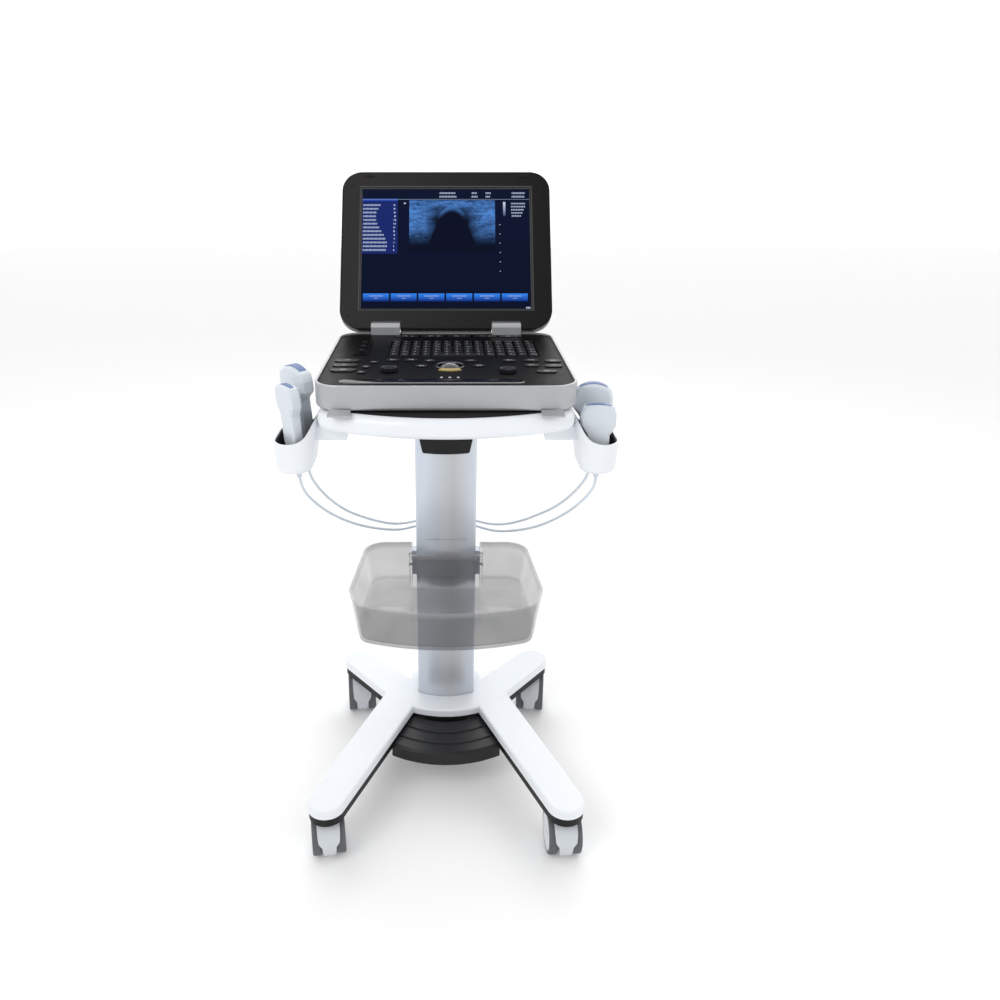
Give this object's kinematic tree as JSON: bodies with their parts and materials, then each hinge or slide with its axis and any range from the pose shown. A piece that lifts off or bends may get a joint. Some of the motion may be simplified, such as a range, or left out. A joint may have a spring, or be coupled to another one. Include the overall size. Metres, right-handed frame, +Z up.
{
  "type": "ultrasound machine on trolley",
  "caption": "Laptop-style ultrasound machine on a wheeled column trolley with probes in side cups, a clear basket and a foot rest",
  "frame": {"origin": "on the floor, under the middle of the bounding box", "axes": "+Z up; the user stands at -Y and faces +Y; +X is to the user's right"},
  "size_m": [0.5032, 0.6074, 1.0537],
  "materials": {
    "white_plastic": "satin",
    "black_metal": "satin",
    "black_plastic": "satin",
    "castor_plastic": "satin",
    "tyre_grey": "matte",
    "steel": "satin",
    "column_silver": "satin",
    "smoke_clear": "gloss",
    "black_rubber": "matte",
    "shell_silver": "satin",
    "deck_black": "gloss",
    "key_black": "satin",
    "knob_black": "satin",
    "ball_grey": "gloss",
    "enter_gold": "gloss",
    "lid_black": "satin",
    "bezel_grey": "satin",
    "lcd": "gloss",
    "board_green": "satin",
    "battery_grey": "matte",
    "probe_white": "satin",
    "lens_blue": "satin",
    "lead_grey": "satin"
  },
  "bodies": {
    "trolley": {"base_cover": "white_plastic", "base_frame": "black_metal", "basket": "smoke_clear", "basket_brackets": "column_silver", "basket_screws": "steel", "battery_pack": "battery_grey", "bottom_cover": "black_plastic", "caster_stems": "steel", "column_head_insert": "black_plastic", "column_tube": "column_silver", "cord_grommet": "black_rubber", "cup_left": "white_plastic", "cup_liners": "black_rubber", "cup_right": "white_plastic", "deck_panel": "deck_black", "foot_rest": "black_plastic", "hinge_blocks": "shell_silver", "lead_left_convex": "lead_grey", "lead_left_linear": "lead_grey", "lead_right_convex": "lead_grey", "lead_right_linear": "lead_grey", "machine_rests": "shell_silver", "machine_shell": "shell_silver", "main_board": "board_green", "table_bracket": "black_metal", "table_mat": "black_rubber", "table_top": "white_plastic", "trolley_screws": "steel"},
    "caster_fl": {"caster_fl_housing": "castor_plastic"},
    "wheel_fl_left": {"caster_fl_wheel_left": "tyre_grey"},
    "wheel_fl_right": {"caster_fl_wheel_right": "tyre_grey"},
    "caster_fr": {"caster_fr_housing": "castor_plastic"},
    "wheel_fr_left": {"caster_fr_wheel_left": "tyre_grey"},
    "wheel_fr_right": {"caster_fr_wheel_right": "tyre_grey"},
    "caster_rl": {"caster_rl_housing": "castor_plastic"},
    "wheel_rl_left": {"caster_rl_wheel_left": "tyre_grey"},
    "wheel_rl_right": {"caster_rl_wheel_right": "tyre_grey"},
    "caster_rr": {"caster_rr_housing": "castor_plastic"},
    "wheel_rr_left": {"caster_rr_wheel_left": "tyre_grey"},
    "wheel_rr_right": {"caster_rr_wheel_right": "tyre_grey"},
    "lid": {"lid_back": "lid_black", "lid_bezel": "bezel_grey", "lcd_panel": "lcd", "hinge_pins": "steel"},
    "keyboard": {"keyboard_keys": "key_black"},
    "function_row": {"function_keys": "key_black"},
    "buttons": {"panel_buttons": "key_black"},
    "enter": {"enter_key": "enter_gold"},
    "knob_left": {"knob_left": "knob_black"},
    "knob_right": {"knob_right": "knob_black"},
    "ball": {"trackball": "ball_grey"},
    "sliders": {"gain_sliders": "key_black"},
    "probe_left_linear": {"probe_left_linear": "probe_white", "lens_left_linear": "lens_blue"},
    "probe_left_convex": {"probe_left_convex": "probe_white", "lens_left_convex": "lens_blue"},
    "probe_right_linear": {"probe_right_linear": "probe_white", "lens_right_linear": "lens_blue"},
    "probe_right_convex": {"probe_right_convex": "probe_white", "lens_right_convex": "lens_blue"}
  },
  "joints": [
    {"name": "caster_fl_swivel", "type": "hinge", "parent": "trolley", "child": "caster_fl", "pos_m": [-0.196, -0.27098, 0.0375], "axis": [0, 0, 1], "continuous": true},
    {"name": "wheel_fl_left_roll", "type": "hinge", "parent": "caster_fl", "child": "wheel_fl_left", "pos_m": [-0.19774, -0.26113, 0.0375], "axis": [0.9848, 0.1736, 0], "continuous": true},
    {"name": "wheel_fl_right_roll", "type": "hinge", "parent": "caster_fl", "child": "wheel_fl_right", "pos_m": [-0.19774, -0.26113, 0.0375], "axis": [0.9848, 0.1736, 0], "continuous": true},
    {"name": "caster_fr_swivel", "type": "hinge", "parent": "trolley", "child": "caster_fr", "pos_m": [0.196, -0.27098, 0.0375], "axis": [0, 0, 1], "continuous": true},
    {"name": "wheel_fr_left_roll", "type": "hinge", "parent": "caster_fr", "child": "wheel_fr_left", "pos_m": [0.19548, -0.26099, 0.0375], "axis": [0.9986, 0.0523, 0], "continuous": true},
    {"name": "wheel_fr_right_roll", "type": "hinge", "parent": "caster_fr", "child": "wheel_fr_right", "pos_m": [0.19548, -0.26099, 0.0375], "axis": [0.9986, 0.0523, 0], "continuous": true},
    {"name": "caster_rl_swivel", "type": "hinge", "parent": "trolley", "child": "caster_rl", "pos_m": [-0.178, 0.14502, 0.0375], "axis": [0, 0, 1], "continuous": true},
    {"name": "wheel_rl_left_roll", "type": "hinge", "parent": "caster_rl", "child": "wheel_rl_left", "pos_m": [-0.17678, 0.13509, 0.0375], "axis": [-0.9925, -0.1219, 0], "continuous": true},
    {"name": "wheel_rl_right_roll", "type": "hinge", "parent": "caster_rl", "child": "wheel_rl_right", "pos_m": [-0.17678, 0.13509, 0.0375], "axis": [-0.9925, -0.1219, 0], "continuous": true},
    {"name": "caster_rr_swivel", "type": "hinge", "parent": "trolley", "child": "caster_rr", "pos_m": [0.178, 0.14502, 0.0375], "axis": [0, 0, 1], "continuous": true},
    {"name": "wheel_rr_left_roll", "type": "hinge", "parent": "caster_rr", "child": "wheel_rr_left", "pos_m": [0.17678, 0.13509, 0.0375], "axis": [-0.9925, 0.1219, 0], "continuous": true},
    {"name": "wheel_rr_right_roll", "type": "hinge", "parent": "caster_rr", "child": "wheel_rr_right", "pos_m": [0.17678, 0.13509, 0.0375], "axis": [-0.9925, 0.1219, 0], "continuous": true},
    {"name": "lid_hinge", "type": "hinge", "parent": "trolley", "child": "lid", "pos_m": [0, 0.13192, 0.8035], "axis": [1, 0, 0], "range_deg": [-4, 122]},
    {"name": "keyboard_press", "type": "slide", "parent": "trolley", "child": "keyboard", "axis": [0, 0, -1], "range_m": [0, 0.001], "stiffness_N_per_m": 1500, "springref_m": -0.002},
    {"name": "function_row_press", "type": "slide", "parent": "trolley", "child": "function_row", "axis": [0, 0, -1], "range_m": [0, 0.001], "stiffness_N_per_m": 500, "springref_m": -0.002},
    {"name": "buttons_press", "type": "slide", "parent": "trolley", "child": "buttons", "axis": [0, 0, -1], "range_m": [0, 0.001], "stiffness_N_per_m": 500, "springref_m": -0.002},
    {"name": "enter_press", "type": "slide", "parent": "trolley", "child": "enter", "axis": [0, 0, -1], "range_m": [0, 0.001], "stiffness_N_per_m": 300, "springref_m": -0.002},
    {"name": "knob_left_turn", "type": "hinge", "parent": "trolley", "child": "knob_left", "pos_m": [-0.084, -0.13398, 0.794], "axis": [0, 0, 1], "continuous": true},
    {"name": "knob_right_turn", "type": "hinge", "parent": "trolley", "child": "knob_right", "pos_m": [0.091, -0.13998, 0.794], "axis": [0, 0, 1], "continuous": true},
    {"name": "trackball_roll", "type": "hinge", "parent": "trolley", "child": "ball", "pos_m": [0.006, -0.10398, 0.7785], "axis": [1, 0, 0], "continuous": true},
    {"name": "gain_slide", "type": "slide", "parent": "trolley", "child": "sliders", "axis": [1, 0, 0], "range_m": [-0.005, 0.005]},
    {"name": "probe_left_linear_lift", "type": "slide", "parent": "trolley", "child": "probe_left_linear", "axis": [-0.0698, 0, 0.9976], "range_m": [0, 0.13]},
    {"name": "probe_left_convex_lift", "type": "slide", "parent": "trolley", "child": "probe_left_convex", "axis": [-0.0698, 0, 0.9976], "range_m": [0, 0.13]},
    {"name": "probe_right_linear_lift", "type": "slide", "parent": "trolley", "child": "probe_right_linear", "axis": [-0.0262, 0, 0.9997], "range_m": [0, 0.13]},
    {"name": "probe_right_convex_lift", "type": "slide", "parent": "trolley", "child": "probe_right_convex", "axis": [-0.0087, 0, 1], "range_m": [0, 0.13]}
  ]
}
